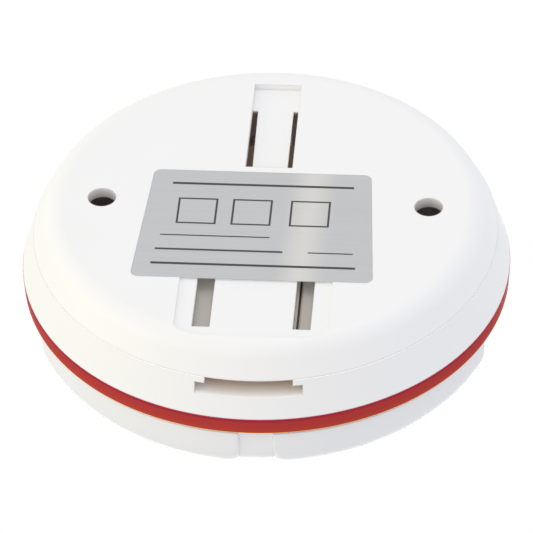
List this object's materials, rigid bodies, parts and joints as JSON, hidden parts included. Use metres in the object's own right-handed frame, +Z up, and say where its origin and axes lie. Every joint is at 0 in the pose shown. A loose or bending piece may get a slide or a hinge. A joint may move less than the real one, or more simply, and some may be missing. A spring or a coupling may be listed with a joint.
{
  "type": "wireless call button",
  "caption": "Round table call button with petal keys, a red band and a screw-down base cover with a snap tongue, hook slots and a rim slot.",
  "frame": {"origin": "centre of the flat underside of the base cover, on the table", "axes": "+Z up through the keys; -Y towards the slot in the rim (front); +X to the right seen from the front, along the line of the two fixing holes"},
  "size_m": [0.0864, 0.0864, 0.0281],
  "materials": {
    "white_shell": "satin moulded plastic",
    "key_shell": "satin moulded plastic, slightly cool",
    "red_band": "smooth red moulded plastic",
    "label_foil": "brushed silver foil, bare",
    "beige_grey": "plain beige-grey plastic",
    "switch_black": "black moulded plastic",
    "plunger_cream": "cream moulded plastic",
    "board_green": "green solder mask",
    "chip_black": "black moulded package",
    "part_tan": "tan ceramic",
    "can_metal": "drawn metal can",
    "copper_wire": "enamelled copper wire",
    "led_red": "clear red epoxy",
    "lens_amber": "frosted amber plastic",
    "cell_sleeve": "plain sleeve over a metal can",
    "spring_steel": "plated steel",
    "screw_steel": "zinc plated steel"
  },
  "bodies": {
    "base": {"base_cover": "white_shell", "base_label": "label_foil"},
    "unit": {"lower_housing": "white_shell", "trim_ring": "red_band", "top_housing": "white_shell", "switch_front_left": "switch_black", "switch_front_right": "switch_black", "switch_back_left": "switch_black", "switch_back_right": "switch_black", "circuit_board": "board_green", "encoder_chip": "chip_black", "resonator_can": "can_metal", "small_parts": "part_tan", "antenna_coil": "copper_wire", "indicator_led": "led_red", "indicator_lens": "lens_amber", "battery_tray": "beige_grey", "battery_lid": "beige_grey", "battery": "cell_sleeve", "battery_spring": "spring_steel", "battery_contact": "spring_steel", "board_screws": "screw_steel", "housing_screws": "screw_steel"},
    "key_front_left_body": {"key_front_left": "key_shell", "plunger_front_left": "plunger_cream"},
    "key_front_right_body": {"key_front_right": "key_shell", "plunger_front_right": "plunger_cream"},
    "key_back_left_body": {"key_back_left": "key_shell", "plunger_back_left": "plunger_cream"},
    "key_back_right_body": {"key_back_right": "key_shell", "plunger_back_right": "plunger_cream"}
  },
  "joints": [
    {"name": "unit_lift", "type": "slide", "parent": "base", "child": "unit", "axis": [0, 0, 1], "range_m": [0, 0.025]},
    {"name": "press_front_left", "type": "slide", "parent": "unit", "child": "key_front_left_body", "axis": [0, 0, -1], "range_m": [0, 0.0005], "stiffness_N_per_m": 2400},
    {"name": "press_front_right", "type": "slide", "parent": "unit", "child": "key_front_right_body", "axis": [0, 0, -1], "range_m": [0, 0.0005], "stiffness_N_per_m": 2400},
    {"name": "press_back_left", "type": "slide", "parent": "unit", "child": "key_back_left_body", "axis": [0, 0, -1], "range_m": [0, 0.0005], "stiffness_N_per_m": 2400},
    {"name": "press_back_right", "type": "slide", "parent": "unit", "child": "key_back_right_body", "axis": [0, 0, -1], "range_m": [0, 0.0005], "stiffness_N_per_m": 2400}
  ]
}
